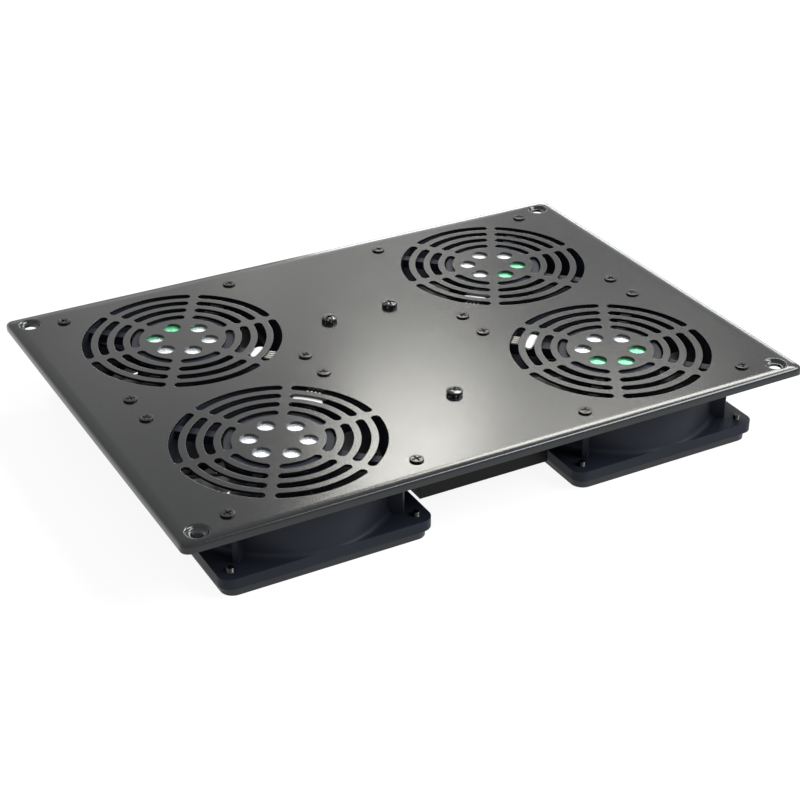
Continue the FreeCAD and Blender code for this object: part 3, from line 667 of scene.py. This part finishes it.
def screw_profile(head_radius, head_height, edge, crown, shank_radius, length):
    """Half outline from the tip, up the threaded shank and round the head to the crown on the axis."""
    root = shank_radius - THREAD_DEPTH
    points = [(0.0, -length), (root, -length)]
    for i in range(int((length - THREAD_PITCH) / THREAD_PITCH)):
        height = -length + THREAD_PITCH * (i + 0.5)
        points += [(shank_radius, height), (root, height + THREAD_PITCH / 2)]
    points += [(root, 0.0), (head_radius - HEAD_CHAMFER, 0.0), (head_radius, HEAD_CHAMFER)]
    points += arc_points((head_radius - edge, head_height - crown - edge), edge, 0.0, 90.0, RIM_STEPS)
    rim, shoulder = points[-1]
    points += [(rim * share, shoulder + crown * (1 - share ** 2)) for share in CROWN_SHARES]
    points.append((0.0, head_height))
    return points


def near_axis(node, box):
    """(distance from the axis, height) of each of a CAD node's vertices in the solid that fills the box."""
    centre = (box[0] + box[1]) / 2
    reach = (box[1].x - box[0].x) / 2 + MICRON
    places = [((v.co - centre).xy.length, v.co.z) for v in frame["nodes"][node].data.vertices]
    return [place for place in places if place[0] < reach]


def make_screws(node, slot, edge, crown, cross, head_below):
    """Cross-head screws with threads in place of a node's plain ones, their sizes taken from that node."""
    name = node + "_cross"
    boxes = solid_boxes(node)
    low, high = boxes[0]
    head_radius = (high.x - low.x) / 2
    tip, top = (high.z, low.z) if head_below else (low.z, high.z)
    places = near_axis(node, boxes[0])
    rim = [z for r, z in places if r > head_radius - LEVEL]
    seat = max(rim) if head_below else min(rim)
    shank_radius = max(r for r, z in places if abs(z - tip) < LEVEL)
    head_height, length = abs(top - seat), abs(tip - seat)
    body = mesh_data(name, lathe(screw_profile(head_radius, head_height, edge, crown, shank_radius, length)))
    cutter = cross_cutter(head_radius, head_height, *cross)
    template = smoothed(carved(name, body, cutter), SCREW_SHARP)
    flip = Matrix.Rotation(math.pi if head_below else 0.0, 4, "X")
    placed = []
    for i, (low, high) in enumerate(boxes):
        centre = (low + high) / 2
        spin = Matrix.Rotation(math.radians(TURNS[i % len(TURNS)]), 4, "Z")
        placed.append((template, Matrix.Translation((centre.x, centre.y, seat)) @ spin @ flip))
    add_piece(name, joined(name, placed), slot, node)


# ---------------------------------------------------------------- nuts

NUT_HOLE_RADIUS = 2.0 * MM
NUT_LEAD_IN = 0.2 * MM
NUT_SHARP = 25.0
# The chamfer's height as a share of the nut's, and the radius that it leaves as a share of half the width.
NUT_CHAMFER = 0.12
NUT_FACE = 0.97


def hex_nut(flats, height):
    """Hexagon nut about Z from height 0, chamfered at both faces; flats is half its width."""
    mesh = bmesh.new()
    chamfer = NUT_CHAMFER * height
    hexagon = [flats / math.cos(angle % (math.pi / 3) - math.pi / 6) for angle in ROUND_ANGLES]
    face = [flats * NUT_FACE] * ROUND_STEPS
    bore = [NUT_HOLE_RADIUS] * ROUND_STEPS
    mouth = [NUT_HOLE_RADIUS + NUT_LEAD_IN] * ROUND_STEPS
    outline = ((mouth, 0.0), (face, 0.0), (hexagon, chamfer), (hexagon, height - chamfer), (face, height),
               (mouth, height), (bore, height - NUT_LEAD_IN), (bore, NUT_LEAD_IN))
    rows = [add_row(mesh, radii, level) for radii, level in outline]
    for first, second in zip(rows, rows[1:] + rows[:1]):
        stitch(mesh, first, second)
    bmesh.ops.recalc_face_normals(mesh, faces=mesh.faces)
    return smoothed(mesh_data("nut", mesh), NUT_SHARP)


def make_nuts():
    """Chamfered nuts in place of the CAD's plain ones, their sizes taken from them."""
    boxes = solid_boxes("fan_nuts")
    low, high = boxes[0]
    template = hex_nut(min(high.x - low.x, high.y - low.y) / 2, high.z - low.z)
    turn = Matrix.Rotation(math.pi / 6, 4, "Z")
    placed = []
    for low, high in boxes:
        centre = (low + high) / 2
        placed.append((template, Matrix.Translation((centre.x, centre.y, low.z)) @ turn))
    add_piece("fan_nuts_chamfered", joined("fan_nuts_chamfered", placed), "zinc_steel", "fan_nuts")


# ---------------------------------------------------------------- the leads' covers and ribs on the struts

# How far the covers' middles are from their fans' axes.
COVER_RADIUS = 46.0 * MM
COVER_EDGE = 0.35 * MM
COVER_END_STEPS = 16
COVER_SHARP = 30.0
# Each cover's length along its slot, and the radii of its two ends.
COVERS = {
    "front_left": (17.0 * MM, 2.6 * MM, 4.0 * MM),
    "back_left": (13.0 * MM, 3.6 * MM, 3.6 * MM),
    "front_right": (17.0 * MM, 4.0 * MM, 2.5 * MM),
    "back_right": (15.0 * MM, 3.2 * MM, 3.2 * MM),
}
RIB_COUNT = 4
RIB_PITCH = 2.3 * MM
RIB_WIDTH = 1.0 * MM
RIB_EDGE = 0.3 * MM
# How far a rib stands above and below the cover's foot, and where it starts and ends from the fan's axis.
RIB_RISE = 0.9 * MM
RIB_REACH = (50.4 * MM, 56.8 * MM)


def strut_frame(place):
    """Matrix whose X runs from a fan's axis towards the tray's middle, along the strut with the lead."""
    axis = fans[place]
    angle = math.atan2(-axis.y / abs(axis.y), -axis.x / abs(axis.x))
    return Matrix.Translation((axis.x, axis.y, 0.0)) @ Matrix.Rotation(angle, 4, "Z")


def cover_outline(length, first, last):
    """Outline of two round ends, joined by straight sides that run from one radius to the other."""
    low, high = -length / 2 + first, length / 2 - last
    lean = math.degrees(math.asin((first - last) / (high - low)))
    start = arc_points((COVER_RADIUS, low), first, 180.0 - lean, 360.0 + lean, COVER_END_STEPS)
    return start + arc_points((COVER_RADIUS, high), last, lean, 180.0 - lean, COVER_END_STEPS)


def make_covers():
    low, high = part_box("lead_covers")
    placed = []
    for place in fans:
        cover = prism(cover_outline(*COVERS[place]), low.z, high.z, COVER_EDGE)
        placed.append((mesh_data("cover", cover), strut_frame(place)))
    whole = smoothed(joined("lead_cover_sleeves", placed), COVER_SHARP)
    add_piece("lead_cover_sleeves", whole, "white_insulator", "lead_covers")


def make_ribs():
    """Short ribs side by side along each lead strut, further out than its cover and about its foot."""
    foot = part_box("lead_covers")[0].z
    near, far = RIB_REACH
    side = RIB_WIDTH / 2
    outline = [(near, -side), (far, -side), (far, side), (near, side)]
    rib = mesh_data("rib", prism(outline, foot - RIB_RISE, foot + RIB_RISE, RIB_EDGE))
    template = smoothed(rib, COVER_SHARP)
    placed = []
    for place in fans:
        for i in range(RIB_COUNT):
            shift = (i - (RIB_COUNT - 1) / 2) * RIB_PITCH
            placed.append((template, strut_frame(place) @ Matrix.Translation((0.0, shift, 0.0))))
    add_piece("lead_strut_ribs", joined("lead_strut_ribs", placed), "terminal_plastic")


# ---------------------------------------------------------------- the scene

make_camera()
make_world()
make_floor()
for lamp in LAMPS:
    make_lamp(*lamp)
dress_nodes()
for node, settings in SCREWS.items():
    make_screws(node, *settings)
make_nuts()
make_covers()
make_ribs()

bpy.context.scene.view_settings.view_transform = "Standard"
